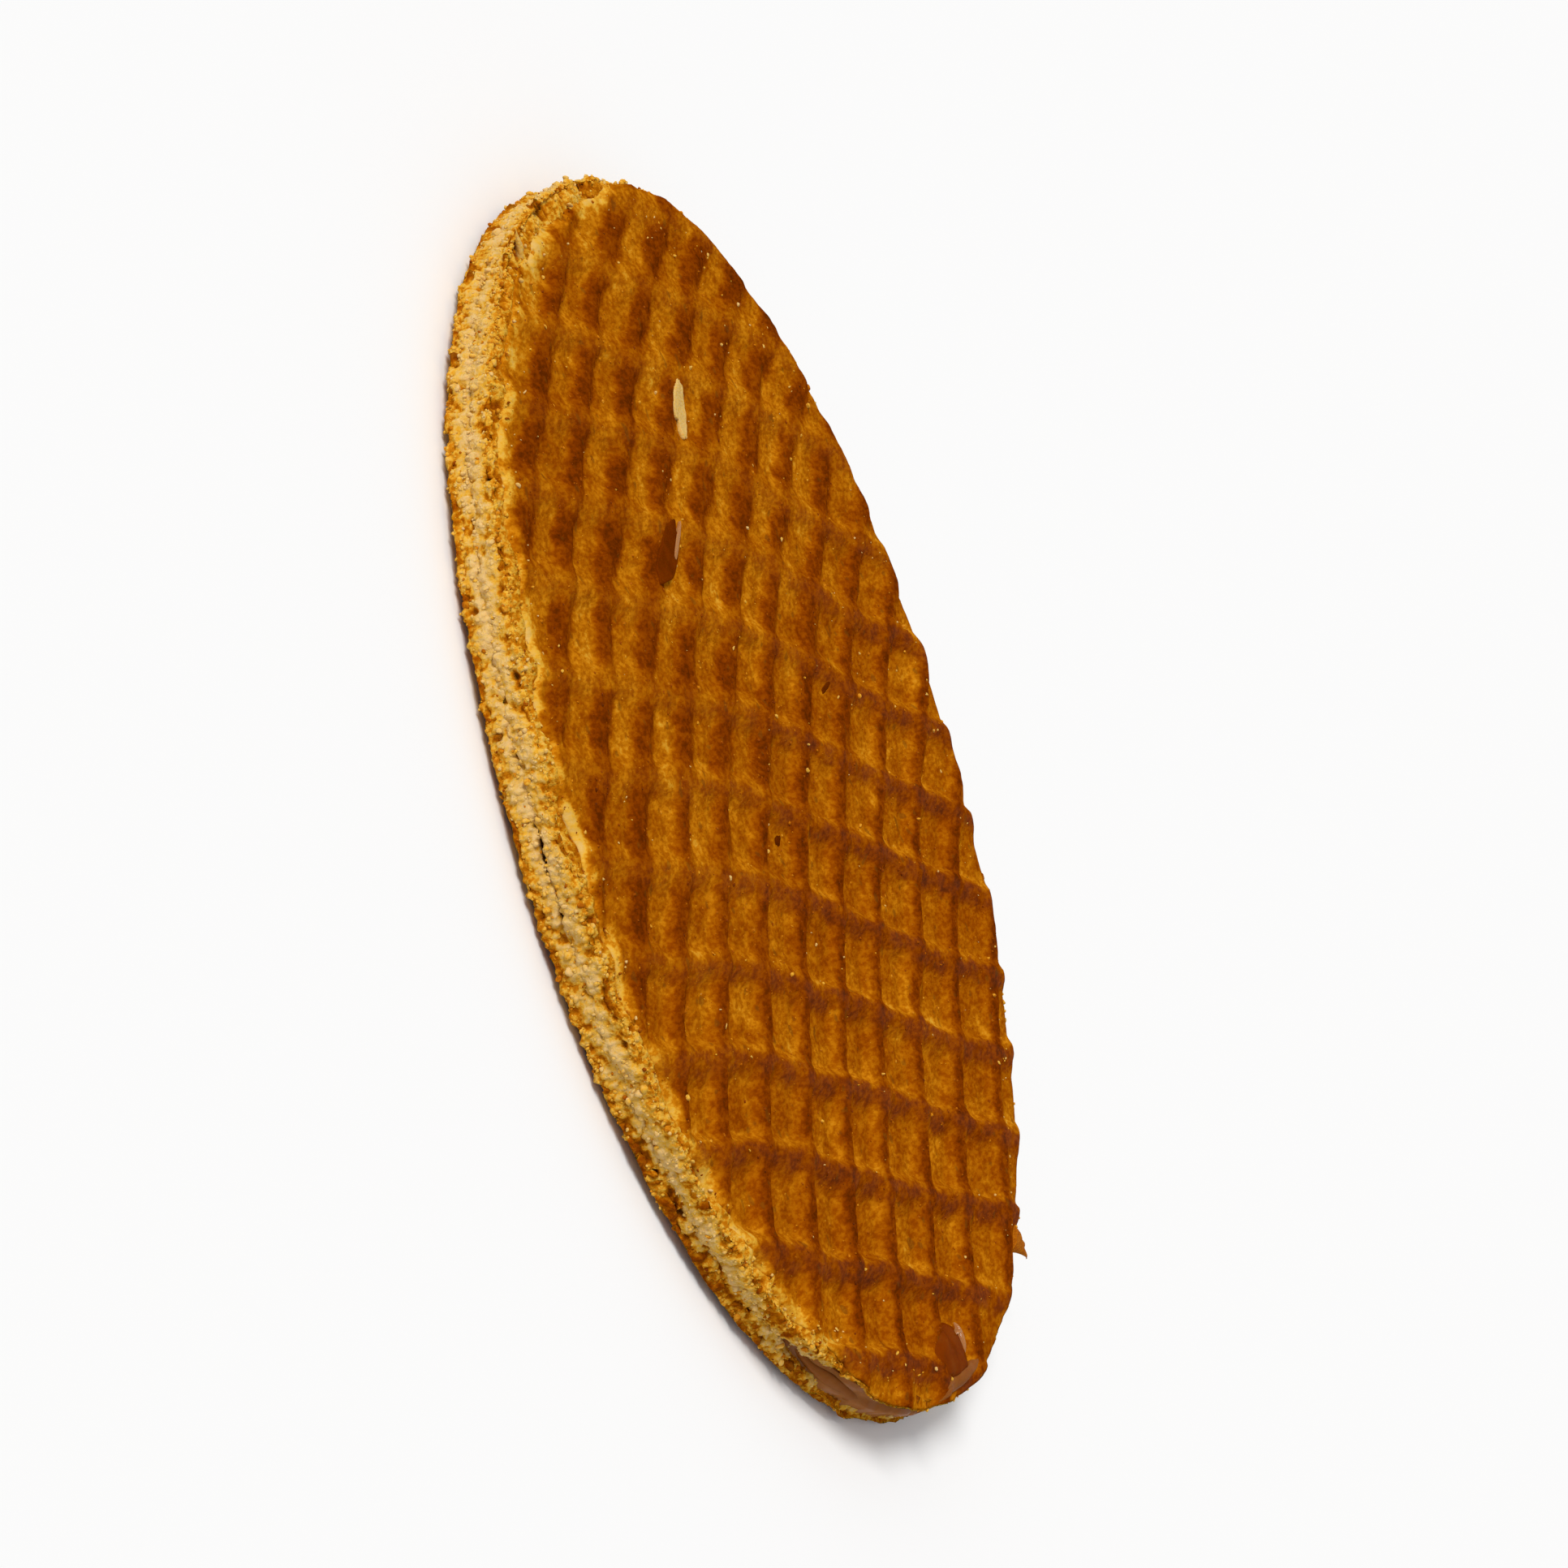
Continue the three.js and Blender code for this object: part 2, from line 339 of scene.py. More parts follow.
def from_crests(x, y, plate):
    """Signed distance in mm from the nearest crest, across each of the plate's two families."""
    flat = on_level(x, y)
    found = []
    bent = bows(x, y) if plate is UPPER_PLATE else (0, 0)
    for number, ((across, pitch, start), bow) in enumerate(zip(plate, bent)):
        along = x * math.cos(math.radians(across)) + y * math.sin(math.radians(across)) - start - bow
        along = along + 0.4 * noise(flat, 9.0, 20 + number) + 0.25 * noise(flat, 2.6, 30 + number)
        along = along + 0.5 * (1 - crispness(x, y)) * noise(flat, 4.5, 24 + number)
        found.append((along + pitch / 2) % pitch - pitch / 2)
    return found


def ridges(x, y, plate):
    """1 on a ridge and 0 in a pit: one family is steep on one side, the other is rounder."""
    flat = on_level(x, y)
    soft = 1 - crispness(x, y)
    first, second = from_crests(x, y, plate)
    uneven = 0.35 * noise(flat, 6.0, 40)
    first = smooth(first, -1.2 - 0.9 * soft + uneven, -0.1) * (1 - smooth(first, 0.3, 2.5 + uneven))
    second = smooth(second, -2.5 + uneven, -0.3) * (1 - smooth(second, 0.3, 1.7 + 0.6 * soft + uneven))
    return first, second


def baked_side(x, y, plate, crest, seed):
    """Height in mm over the sliced side at each point of a baked side."""
    flat = on_level(x, y)
    first, second = ridges(x, y, plate)
    either = 1 - (1 - first) * (1 - second)
    share = 0.5 * either + 0.28 * first + 0.22 * second
    depth = PIT_DEPTH * (1 + 0.3 * slow_noise(x / 17, y / 17, seed + 3))
    depth = depth * (0.60 + 0.5 * crispness(x, y) + 0.2 * noise(flat, 11.0, seed + 50))
    far_rim = smooth(np.hypot(x, y), 41, 49) * (1 - broken(np.arctan2(y, x)))
    depth = depth * (1 - 0.35 * far_rim)
    puffed = 0.09 * noise(flat, 3.2, seed + 60) * (1 - either)
    height = crest(x, y) - depth * (1 - share) + puffed
    height = height + 0.05 * rough(flat, 1.1, seed + 70, 2)
    # The far rim curls up until its ridges are nearly level with their crests.
    if plate is UPPER_PLATE:
        height = height + 0.8 * far_rim * (UPPER_HALF + 0.2 - crest(x, y))
        height = np.minimum(height, UPPER_HALF + 0.25)
    return height


def upper_crest(x, y):
    return UPPER_HALF + 0.2 * slow_noise(x / 24 + 3.1, y / 24 + 1.7, 11)


def lower_crest(x, y):
    curl = smooth(np.hypot(x, y), 0.8 * RADIUS, RADIUS) * (0.5 + 0.5 * slow_noise(x / 15, y / 15, 5))
    return LOWER_HALF - 0.2 * curl - 0.12


# %% [markdown]
# ## The crust
# The browned skin is thin and stops in a ragged line where the cutter went through and crumbs
# broke away. It is made as a plate of its own, so that this line can be real: its edge dips
# under and the pale crumb comes out from beneath it. The plate is closed below, out of sight.

# %% The crust's edge and plate
def broken(angle):
    """1 where the rim has crumbled; 0 on the far side and next to the syrup that ran out."""
    from_syrup = np.abs(degrees_from(angle, -6))
    return smooth(-np.sin(angle), -0.25, 0.2) * (0.2 + 0.8 * smooth(from_syrup, 14, 32))


FAR_SWELL = 0.65  # mm


def far_swell(angle):
    """How far in mm the rim stands out on the far side."""
    return FAR_SWELL * (1 - broken(angle))


def crust_edge(angle, seed, inset, raggedness):
    """Radius at which the browned skin ends. On the far side it reaches the rim."""
    ring = polar(RADIUS, angle, 0 * angle)
    chips = 0.5 + 0.5 * rough(ring, 4.5, seed, 4)
    notches = smooth(rough(ring, 2.2, seed + 9, 2), 0.35, 0.9)
    ragged = raggedness * (0.15 + 0.85 * broken(angle)) * (1.1 * chips + 0.9 * notches)
    return outline(angle) + far_swell(angle) - 0.1 - inset * broken(angle) - ragged


SOFT_TOAST, HARD_TOAST = 0.565, 0.635


def toasting_and_shade(x, y, plate):
    """How brown the iron has made each point, with painted shade and light on ridge slopes, and where it is
    glazed, from 0 to 1.
    """
    flat = on_level(x, y)
    crisp = crispness(x, y)
    first, second = from_crests(x, y, plate)
    frayed = 0.45 * rough(flat, 1.7, 81, 2)
    raised = ridges(x, y, plate)[0]
    pads = (1 - smooth(np.abs(second + frayed), 1.0, 2.5)) * (1 - 0.6 * raised)
    # Painted shade: the slope of each first-family ridge that faces away from the sun is made browner.
    shaded_lee_slope = smooth(first + 0.4 * frayed, -0.4, 0.2) * (1 - smooth(first + 0.4 * frayed, 1.1, 2.1))
    line = 1 - smooth(np.abs(second + 0.2 + 0.4 * frayed), 0.25, 1.25)
    # Painted light: a thin strip on the sunward side of the same ridges is made paler.
    painted_lit_slope = smooth(first, -1.7, -1.0) * (1 - smooth(first, -0.6, -0.1))
    soft = SOFT_TOAST + 0.29 * pads
    hard = HARD_TOAST + 0.24 * np.maximum(line, 0.7 * shaded_lee_slope) - 0.08 * painted_lit_slope
    blotches = 0.055 * rough(flat, 3.0, 85, 3) + 0.03 * noise(flat, 12.0, 88)
    return soft * (1 - crisp) + hard * crisp + blotches, shaded_lee_slope * (0.2 + 0.8 * crisp)


TUCKED_UNDER = ((0.06, 0.16), (0.3, 0.3), (1.0, 0.5))  # how far in and how far down, in mm
CLOSING_RINGS = ((42.0, 240), (0.0, 1))  # radius and points
CLOSING_HEIGHT, CLOSING_TOAST = 0.5, 0.7


def crust_plate(name, node, plate, crest, seed, spacing, inset, raggedness, turned):
    """The browned skin of one baked side; turned is for the half that lies face down."""
    rows, counts, down = [], [], []
    for reach in np.append(np.arange(0, RADIUS - 1.5, spacing), np.linspace(RADIUS - 1.4, RADIUS, 9)):
        count = max(1, round(2 * math.pi * reach / spacing))
        angle = turn_in(count)
        stretch = (crust_edge(angle, seed, inset, raggedness) - RADIUS) * smooth(reach, 0.86 * RADIUS, RADIUS)
        rows.append(polar(reach + stretch, angle))
        counts.append(count)
        down.append(0.34 * max(0, 1 - (RADIUS - reach) / 0.9) ** 2 * (0.3 + 0.7 * broken(angle)))
    face = np.concatenate(rows)
    height = baked_side(face[:, 0], face[:, 1], plate, crest, seed)
    height = height - np.concatenate(down)
    toast_and_shade, glaze = toasting_and_shade(face[:, 0], face[:, 1], plate)
    rim = rows[-1]
    rim_height = height[-counts[-1]:]
    for inward, lower in TUCKED_UNDER:
        size = np.linalg.norm(rim, axis=1, keepdims=True)
        rows.append(rim * (size - inward) / size)
        counts.append(len(rim))
        height = np.append(height, rim_height - lower)
        toast_and_shade = np.append(toast_and_shade, toast_and_shade[len(face) - len(rim):len(face)])
        glaze = np.append(glaze, np.zeros(len(rim)))
    for radius, count in CLOSING_RINGS:
        rows.append(polar(radius, turn_in(count)))
        counts.append(count)
        height = np.append(height, np.full(count, CLOSING_HEIGHT))
        toast_and_shade = np.append(toast_and_shade, np.full(count, CLOSING_TOAST))
        glaze = np.append(glaze, np.zeros(count))
    flat = np.concatenate(rows)
    around = np.arctan2(flat[:, 1], flat[:, 0])
    edge = crust_edge(around, seed, inset, raggedness) - np.hypot(flat[:, 0], flat[:, 1])
    faces = ring_faces(counts)
    if turned:
        points = np.column_stack([flat, LOWER_HALF - height])
        faces = faces[:, ::-1]
    else:
        points = np.column_stack([flat, LOWER_HALF + SYRUP + height])
    pale = broken(around)
    frayed = edge + 0.75 * rough(np.column_stack([flat, 0 * height]), 1.3, 83, 2)
    masks = {"toast_and_shade": toast_and_shade, "border": pale * (1 - smooth(frayed, 0.0, 1.9)),
             "glow": pale * (1 - smooth(edge, 0, 5)), "glaze": glaze}
    return make_piece(name, points, faces, masks, node)


UPPER = dict(plate=UPPER_PLATE, crest=upper_crest, seed=1, inset=0.95, raggedness=0.85, turned=False)
LOWER = dict(plate=LOWER_PLATE, crest=lower_crest, seed=2, inset=0.12, raggedness=0.45, turned=True)
upper_crust = crust_plate("upper_crust", "wafer_top", spacing=0.32, **UPPER)
lower_crust = crust_plate("lower_crust", "wafer_bottom", spacing=0.5, **LOWER)

# %% [markdown]
# ## The crumb of the cut edge
# A round cutter tears rather than cuts, so the edge is a wall of grains with pores and a few
# larger holes. It is a closed ring that starts under the crust, rounds over the shoulder, goes
# down the wall and turns in at the slice. Grains push each point out and pores pull it in.

# %% Crumb ring
CRUMB_STEPS = 2500
CRACK_ANGLE = 270  # degrees, where the two halves gape a little


def crumb_section(angle, edge, border, skin, thickness, bite, seed):
    """Rings from the hidden inner top, over the shoulder, down the wall and back in underneath.

    Each has a radius, a height and a share of how far crumbs may push there.
    """
    runs = ooze(angle)
    cracked = 1 - smooth(np.abs(np.degrees(angle) % 360 - CRACK_ANGLE), 4, 9)
    droop = (0.6 + 0.1 * rim_noise(angle, 24, seed + 80) - 0.2 * cracked) * (1 - smooth(runs, 0, 0.3))
    shoulder = np.clip(border + 0.3, edge - 0.62 - 0.3 * bite * runs, edge - 0.3)
    wall = ((shoulder, skin - 0.08), (edge - 0.26 - 0.38 * bite * runs, skin - 0.3),
            (edge - 0.08 - 0.5 * bite * runs, 0.68 * thickness + 0 * edge),
            (edge - 0.85 * bite * runs, 0.34 * thickness + 0 * edge),
            (edge - 0.1 - 0.95 * bite * runs, 0.12 * thickness - 0.5 * droop),
            (edge - 0.42 - bite * runs, -droop))
    rings = [(edge - 4.6, skin * 0 + 0.55, 0.0), (border - 1.0, skin - 0.28, 0.0),
             (border - 0.25, skin - 0.02, 0.2), (border + 0.08, skin + 0.06, 0.45),
             (0.5 * (border + shoulder) + 0.1, skin + 0.02, 0.8)]
    for (r0, z0), (r1, z1), parts in zip(wall[:-1], wall[1:], (2, 4, 6, 4, 3)):
        rings += [(r0 + (r1 - r0) * share, z0 + (z1 - z0) * share, 1.0) for share in np.arange(parts) / parts]
    lip = wall[-1][0]
    rings += [(lip, wall[-1][1], 1.0), (lip - 0.3, -0.8 * droop, 0.7), (lip - 0.7, -0.4 * droop, 0.3),
              (edge - 1.6 - bite * runs, 0.0 * edge, 0.0), (edge - 4.6, 0.0 * edge, 0.0)]
    radius, height, free = zip(*rings)
    return np.array(radius), np.array(height), free


def crumb_relief(where, seed, turned, toward_ooze):
    """How far in mm grains stand out and pores go in at each point, and its tone: random, plus painted shade
    in gaps and on the lower half.
    """
    lump, _ = grains(where, 1.1, seed * 11)
    grain, own = grains(where, 0.5, seed * 13)
    hole, lot = grains(where, 1.5, seed * 17)
    relief = 0.26 * noise(where, 2.6, seed + 5) + 0.55 * (0.5 - lump) + 0.34 * (0.5 - grain) * (0.5 + own)
    holed = lot > (0.35 if turned else 0.6)
    relief = relief - 0.5 * (1 - smooth(hole, 0.1, 0.36)) * holed + 0.08 * noise(where, 0.28, seed + 6)
    # Painted shade: the lower half is a little darker over most of its ring, and the gaps between lumps and
    # grains darker still.
    tone_and_shade = (0.07 * toward_ooze if turned else 0.0) + 0.06 * noise(where, 4.0, seed + 8)
    return relief, tone_and_shade + 0.17 * smooth(lump, 0.42, 0.72) + 0.12 * smooth(grain, 0.36, 0.62)


# %% The two rings of crumb
def crumb_ring(name, node, thickness, plate, crest, seed, bite, inset, raggedness, turned):
    angle = turn_in(CRUMB_STEPS)
    border = crust_edge(angle, seed, inset, raggedness)
    runs = ooze(angle)
    edge = outline(angle) + (0.0 if turned else 0.9) * far_swell(angle) * (1 - 0.85 * runs)
    skin = baked_side(border * np.cos(angle), border * np.sin(angle), plate, crest, seed) - 0.36
    radius, height, free = crumb_section(angle, edge, border, skin, thickness, bite, seed)
    # The direction to push in: across the section's own outline.
    dr, dz = np.gradient(radius, axis=0), np.gradient(height, axis=0)
    length = np.hypot(dr, dz) + 1e-6
    where = polar(radius, angle, height + 7 * seed).reshape(-1, 3)
    toward_ooze = np.tile(smooth(degrees_from(angle, 0), -112, -68), len(free))
    relief, tone_and_shade = crumb_relief(where, seed, turned, toward_ooze)
    relief = (relief.reshape(radius.shape) * (1 - 0.35 * runs)) * np.array(free)[:, None]
    radius, height = radius - dz / length * relief, np.minimum(height + dr / length * relief, thickness + 0.1)
    points = polar(radius, angle, height).reshape(-1, 3)
    masks = {"below_crust": (skin + 0.2 - height).ravel(), "relief": relief.ravel(), "tone_and_shade": tone_and_shade,
             "syrup_soak": np.tile(runs, len(free))}
    faces = ring_faces([CRUMB_STEPS] * len(free), closed=True)
    if turned:
        points[:, 2] = LOWER_HALF - points[:, 2]
        faces = faces[:, ::-1]
    else:
        points[:, 2] = LOWER_HALF + SYRUP + points[:, 2]
    return make_piece(name, points, faces, masks, node)


upper_crumb = crumb_ring("upper_crumb", "wafer_top", thickness=UPPER_HALF, bite=OOZE_BITE, **UPPER)
lower_crumb = crumb_ring("lower_crumb", "wafer_bottom", thickness=LOWER_HALF, bite=0.0, **LOWER)

# %% [markdown]
# ## The syrup between
# Warm syrup spreads until it almost reaches the rim, then sets. The layer keeps the solid's
# shape: level where the halves press on it, with a rounded edge that wanders in and out.

# %% Syrup layer
SYRUP_STEPS = 1400
SET_BACK = 1.5  # mm from the rim to the syrup, where it has not run out


def syrup_layer():
    angle = turn_in(SYRUP_STEPS)
    runs = ooze(angle)
    reach = outline(angle) - (SET_BACK + (0.1 - SET_BACK) * runs) + 0.35 * rim_noise(angle, 50, 7) * (1 - runs)
    rise = OOZE_RISE * smooth(runs, 0.7, 1)
    rim = polar(RADIUS, angle, 0 * angle)
    sag = 0.12 * noise(rim, 3.4, 90) + 0.05 * noise(rim, 1.2, 91)
    level = 0 * angle
    rings = [(level, level), (reach - 3, level), (reach - 0.25, level),
             (reach - 0.08 + sag, 0.16 * SYRUP + level), (reach + sag, 0.45 * SYRUP + level),
             (reach - 0.03 + sag, 0.65 * SYRUP + 0.3 * rise), (reach - 0.12 + sag, 0.82 * SYRUP + 0.62 * rise),
             (reach - 0.25 - 0.1 * runs, 0.95 * SYRUP + 0.9 * rise), (reach - 0.4 - 0.15 * runs, SYRUP + rise),
             (reach - 0.55 - 0.3 * runs, SYRUP + 0.2 * rise), (reach - 3, SYRUP + level),
             (level, SYRUP + level)]
    radius, height = (np.array(part) for part in zip(*rings))
    points = polar(radius, angle, height + LOWER_HALF)
    middle = points[[0, -1], 0]
    body = points[1:-1].reshape(-1, 3)
    counts = [1] + [SYRUP_STEPS] * (len(rings) - 2) + [1]
    points = np.concatenate([middle[:1], body, middle[1:]])
    masks = {"cloud": np.full(len(points), 0.55), "shine": np.full(len(points), 0.1)}
    return make_piece("syrup_layer", points, ring_faces(counts), masks, "syrup")


layer = syrup_layer()

# %% [markdown]
# ## Syrup that got out
# Some syrup ran out at one end of the rim and over both halves. A drop and a thin smear sit on
# the face beside it, a pit farther in holds a little pool, and a smudge dried on the ridges. A dark
# speck on the face is painted shade in a small hole.
# Each is a closed blob that follows what it lies on, and its outline is where its thickness
# falls to nothing, as a real drop's is. The pale gleams at their edges are painted highlights,
# slivers of very cloudy, pale syrup, because so small a drop catches a highlight only by luck.

# %% Drops that lie on the face
LOWEST, HIGHEST = 0.03, 5.04  # mm, so that nothing loose sinks into the floor or stands above the rest


def face_height(x, y):
    """Height of the upper crust in the part's own millimetres."""
    return LOWER_HALF + SYRUP + baked_side(x, y, UPPER_PLATE, upper_crest, 1)


def drop_on_face(name, middle, size, turn, thick, seed, cloud, shine, level, steps=90, rings=16):
    """A drop of syrup; with a level in mm it fills a pit instead of lying over the relief."""
    counts, rows, rise = [1], [np.zeros((1, 2))], [np.ones(1)]
    ring = polar(1, turn_in(steps), np.zeros(steps))
    wobble = 1 + 0.24 * noise(ring, 0.8, seed) + 0.12 * noise(ring, 0.35, seed + 1)
    for part in range(1, rings + 1):
        share = part / rings
        rows.append(share * wobble[:, None] * ring[:, :2])
        counts.append(steps)
        rise.append(np.full(steps, (1 - share**2.6) ** 0.75 if part < rings else 0.0))
    flat = turned_by(np.concatenate(rows) * np.array(size) / 2, turn) + np.array(middle)
    rise = np.concatenate(rise)
    ground = face_height(flat[:, 0], flat[:, 1])
    if level is None:
        soft = np.full(len(flat), ground.mean()) * 0.45 + ground * 0.55
        top = soft + thick * rise - 0.22 * (1 - rise)
    else:
        top = level + thick * rise
    top = np.minimum(top, HIGHEST + 0.3 * (top - HIGHEST))
    points, faces = slab(flat, top, np.minimum(ground, top) - 0.35, counts)
    masks = {"cloud": np.full(len(points), cloud), "shine": np.full(len(points), shine)}
    return make_piece(name, points, faces, masks)


POOL_LEVEL = face_height(np.array([-19.6]), np.array([-12.4]))[0] + 0.22
DROPS = (  # name, middle, size, turn in degrees, thickness, seed, cloudiness, shine, level
    ("rim_drop", (46.9, 1.9), (4.4, 9.0), 4, 0.72, 31, 0.2, 0.03, None),
    # Painted highlight: a pale sliver along the drop's edge.
    ("drop_painted_highlight", (46.2, 6.2), (3.0, 0.9), -14, 0.4, 33, 1.2, 0.3, None),
    # Painted highlight: a pale glint on top of the drop.
    ("drop_painted_glint", (45.6, 4.4), (0.6, 1.6), 10, 1.05, 34, 1.3, 0.6, None),
    ("rim_glaze", (48.9, 2.0), (1.3, 14.0), 3, 0.25, 32, 0.5, 0.12, None),
    ("pit_pool", (-19.2, -12.3), (2.6, 8.2), 32, 0.04, 35, 0.1, 0.0, POOL_LEVEL),
    # Painted highlight: a pale sliver at the pool's edge.
    ("pit_painted_highlight", (-20.2, -9.0), (0.5, 4.6), 37, 0.1, 39, 1.0, 0.2, POOL_LEVEL + 0.06),
    # Painted shade: a dark speck where a small hole is.
    ("hole_shade_speck", (4.1, -3.1), (1.2, 3.0), 12, 0.06, 37, 0.0, 0.0, None),
    ("syrup_smudge", (-6.9, 20.5), (1.0, 3.4), 20, 0.05, 38, 0.1, 0.0, None),
)
drops = [drop_on_face(*row) for row in DROPS]

# %% [markdown]
# ## Syrup that ran down the edge
# Beside that drop the syrup ran over the wall, thickest in the middle and gone at both ends. A
# blob can't follow a wall, and a strip of even thickness looks like tape. So a grid is laid
# round the rim and pushed out only where syrup lies. Elsewhere it hides inside the crumb.

# %% Syrup over the cut edge
RUN_ALONG, RUN_ACROSS = 240, 32  # points
RUN_FROM, RUN_TO = -46, 12  # degrees round the rim
RUN_LOWEST = 0.35  # mm


def edge_run():
    """A sheet of syrup over the wall, closed behind, thick in the middle and gone at its ends."""
    angle = np.radians(np.linspace(RUN_FROM, RUN_TO, RUN_ALONG))
    a, h = np.meshgrid(angle, np.linspace(0, 1, RUN_ACROSS), indexing="ij")
    where = np.degrees(a)
    uneven = rough(polar(RADIUS, a, 4 * h).reshape(-1, 3), 2.0, 97, 2)
    ends = smooth(where, -40, -20) * (1 - smooth(where, 1, 11))
    top = 0.64 + 0.12 * rim_noise(a, 60, 95) + 0.28 * smooth(where, -26, -12)
    low = 0.17 + 0.1 * rim_noise(a, 60, 96)
    band = smooth(h, low - 0.12, low + 0.14) * (1 - smooth(h, top - 0.14, top + 0.1))
    thick = 0.62 * ends * band - 0.5 + 0.16 * uneven.reshape(a.shape) * ends * band
    height = RUN_LOWEST + (2.1 + 1.5 * ends) * h
    radius = outline(a) - 0.12 - 0.12 * smooth(h, 0.85, 1.0) - 0.5 * (1 - ends) * smooth(h, 0.3, 0.8) + thick
    radius = radius + 0.5 * far_swell(a) * smooth(h, 0.4, 0.8) * ends
    inner = radius - np.maximum(thick, 0) - 0.9 + 0.65 * smooth(h, 0.6, 0.85)
    points = np.concatenate([polar(side, a, height).reshape(-1, 3) for side in (radius, inner)])
    masks = {"cloud": np.tile((0.7 - 0.6 * smooth(where, -12, 4)).ravel(), 2),
             "shine": np.tile(0.04 + 0.2 * smooth(uneven, 0.05, 0.35), 2)}
    return make_piece("edge_run", points, sheet_faces(RUN_ALONG, RUN_ACROSS), masks)


def sheet_faces(along, across):
    """Triangles of a grid, of the same grid behind it, and of the band that joins their edges."""
    i, j = np.meshgrid(np.arange(along - 1), np.arange(across - 1), indexing="ij")
    p = (i * across + j).ravel()
    quads = np.stack([p, p + across, p + across + 1, p + 1], axis=1)
    base = along * across
    edge = np.concatenate([np.arange(0, base, across), np.arange(base - across + 1, base),
                           np.arange(base - 1 - across, 0, -across), np.arange(across - 2, 0, -1)])
    after = np.roll(edge, -1)
    return np.concatenate([quads[:, [0, 1, 2]], quads[:, [0, 2, 3]],
                           base + quads[:, [0, 2, 1]], base + quads[:, [0, 3, 2]],
                           np.stack([after, edge, edge + base], axis=1),
                           np.stack([after, edge + base, after + base], axis=1)])


run = edge_run()

# %% [markdown]
# ## Crumbs and sand on the edge
# A cut biscuit is covered in what broke off it, and lumps and sand of crumb cling to the wall.
# Thousands of separate objects would be slow, so each kind is one joined mesh: a small rough
# ball is copied to seeded places and stretched, turned and dented differently each time.

# %% Loose pieces
def rough_balls(name, places, sizes, stretch, seed, subdivisions, masks):
    """One mesh of many balls, each with its own place, size in mm and value of every mask."""
    points, faces = ball_points(subdivisions)
    draw = np.random.default_rng(seed)
    count = len(places)
    turn = draw.normal(size=(count, 4))
    turn /= np.linalg.norm(turn, axis=1, keepdims=True)
    w, x, y, z = turn.T
    spin = np.stack([1 - 2 * (y * y + z * z), 2 * (x * y - w * z), 2 * (x * z + w * y),
                     2 * (x * y + w * z), 1 - 2 * (x * x + z * z), 2 * (y * z - w * x),
                     2 * (x * z - w * y), 2 * (y * z + w * x), 1 - 2 * (x * x + y * y)], axis=1)
    spin = spin.reshape(-1, 3, 3)
    apart = points[None] + 9 * np.arange(count)[:, None, None]
    dents = noise(apart.reshape(-1, 3), 0.8, seed).reshape(count, -1, 1)
    shape = points[None] * (1 + 0.45 * dents)
    shape = shape * (1 + stretch * draw.uniform(-1, 1, (count, 1, 3)))
    shape = np.einsum("nij,npj->npi", spin, shape) * sizes[:, None, None]
    shape = shape + places[:, None, :]
    shape[..., 2] -= np.maximum(shape[..., 2].max(axis=1) - HIGHEST, 0)[:, None]
    shape[..., 2] += np.maximum(LOWEST - shape[..., 2].min(axis=1), 0)[:, None]
    faces = (faces[None] + len(points) * np.arange(count)[:, None, None]).reshape(-1, 3)
    spread = {title: np.repeat(values, len(points)) for title, values in masks.items()}
    return make_piece(name, shape.reshape(-1, 3), faces, spread)


def ball_points(subdivisions):
    made = bmesh.new()
    bmesh.ops.create_icosphere(made, subdivisions=subdivisions, radius=1.0)
    points = np.array([v.co[:] for v in made.verts])
    faces = np.array([[v.index for v in f.verts] for f in made.faces])
    made.free()
    return points, faces


def points_of(piece):
    found = np.empty(len(piece.data.vertices) * 3, dtype=np.float32)
    piece.data.vertices.foreach_get("co", found)
    return found.reshape(-1, 3) / MM


def mask_of(piece, name):
    found = np.empty(len(piece.data.vertices), dtype=np.float32)
    piece.data.attributes[name].data.foreach_get("value", found)
    return found


draw = np.random.default_rng(5)
BROWNED_SHARE = 0.06


def cling(name, counts, small, large, subdivisions, seed):
    """Crumbs that stick to the wall: cream ones, golden ones by the crust and a few brown ones."""
    places, baked = [], []
    for crumb, count in zip((upper_crumb, lower_crumb), counts):
        spots = points_of(crumb)
        proud = (mask_of(crumb, "relief") > -0.12) & (np.hypot(spots[:, 0], spots[:, 1]) > RADIUS - 1.9)
        chosen = draw.choice(np.flatnonzero(proud), count, replace=False)
        places.append(spots[chosen])
        below = mask_of(crumb, "below_crust")[chosen]
        # Each crumb takes the wall's tone where it sits, its painted shade included.
        baked.append(0.24 - 0.2 * smooth(below, 0.1, 1.1) + mask_of(crumb, "tone_and_shade")[chosen])
    places, baked = np.concatenate(places), np.concatenate(baked)
    baked = baked + 0.08 * draw.normal(size=len(baked)) + 0.3 * (draw.random(len(baked)) < BROWNED_SHARE)
    keep = ooze(np.arctan2(places[:, 1], places[:, 0])) < draw.uniform(0, 1, len(places)) + 0.12
    places, baked = places[keep], baked[keep]
    sizes = small + (large - small) * draw.random(len(places)) ** 2
    return rough_balls(name, places, sizes, 0.35, seed, subdivisions, {"baked": baked})


edge_crumbs = cling("edge_crumbs", (800, 600), 0.12, 0.27, 2, 6)
edge_sand = cling("edge_sand", (4600, 3200), 0.08, 0.18, 1, 7)

# %% [markdown]
# ## Grains on the face
# Pale grains gather near the rim, and browned ones lie everywhere. Scattered on a flat disc they
# would float over the pits or sink into the ridges. So each takes its height from the crust's
# own formula, and the browned ones take their colour from it too.

